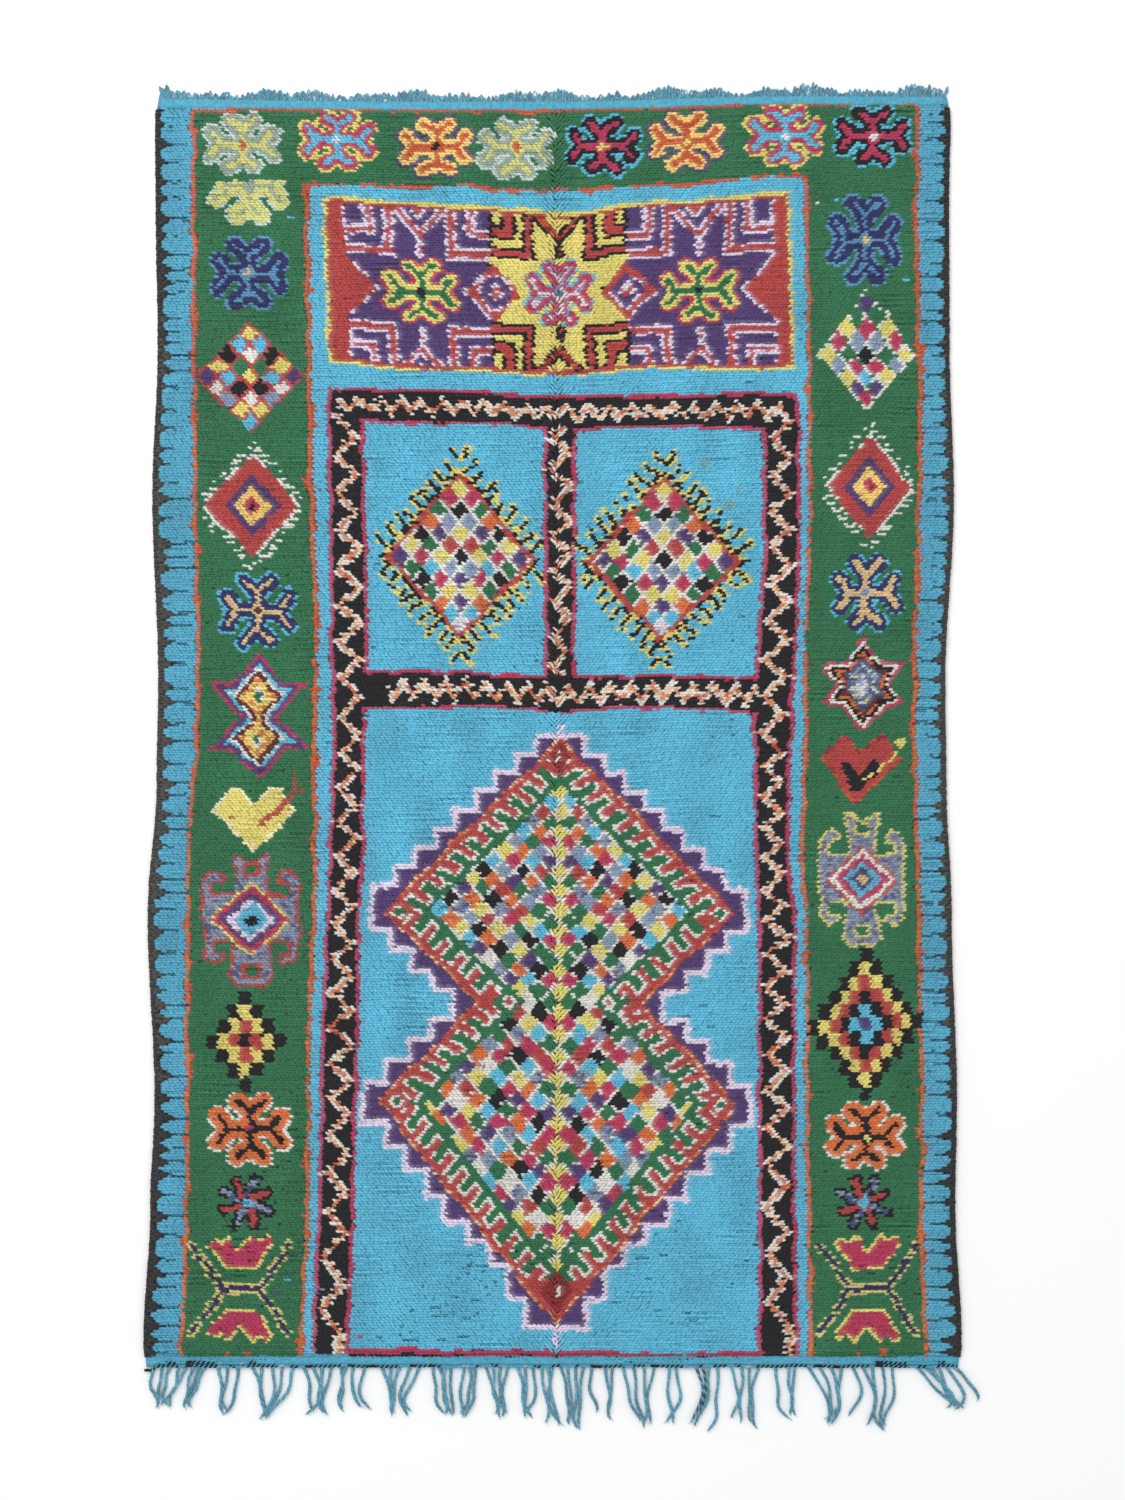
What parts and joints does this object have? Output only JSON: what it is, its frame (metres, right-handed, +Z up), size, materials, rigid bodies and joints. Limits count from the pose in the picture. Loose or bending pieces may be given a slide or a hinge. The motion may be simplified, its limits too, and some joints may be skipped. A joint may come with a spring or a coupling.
{
  "type": "azilal rug",
  "caption": "Hand-knotted wool rug laid flat, with a low uneven pile, dark overcast sides, one fringed end and one short frayed end.",
  "frame": {"origin": "on the underside, at the middle of the knotted cloth's width, on the floor that it lies on", "axes": "+X across the rug, +Y along it towards the frayed end, +Z up through the pile"},
  "size_m": [1.5668, 2.548, 0.0176],
  "materials": {
    "wool_pile": "dense matted wool pile in many colours",
    "warp_yarn": "twisted blue wool yarn"
  },
  "bodies": {
    "root": {"rug": "wool_pile", "bottom_fringe": "warp_yarn", "top_fringe": "warp_yarn"}
  },
  "joints": []
}
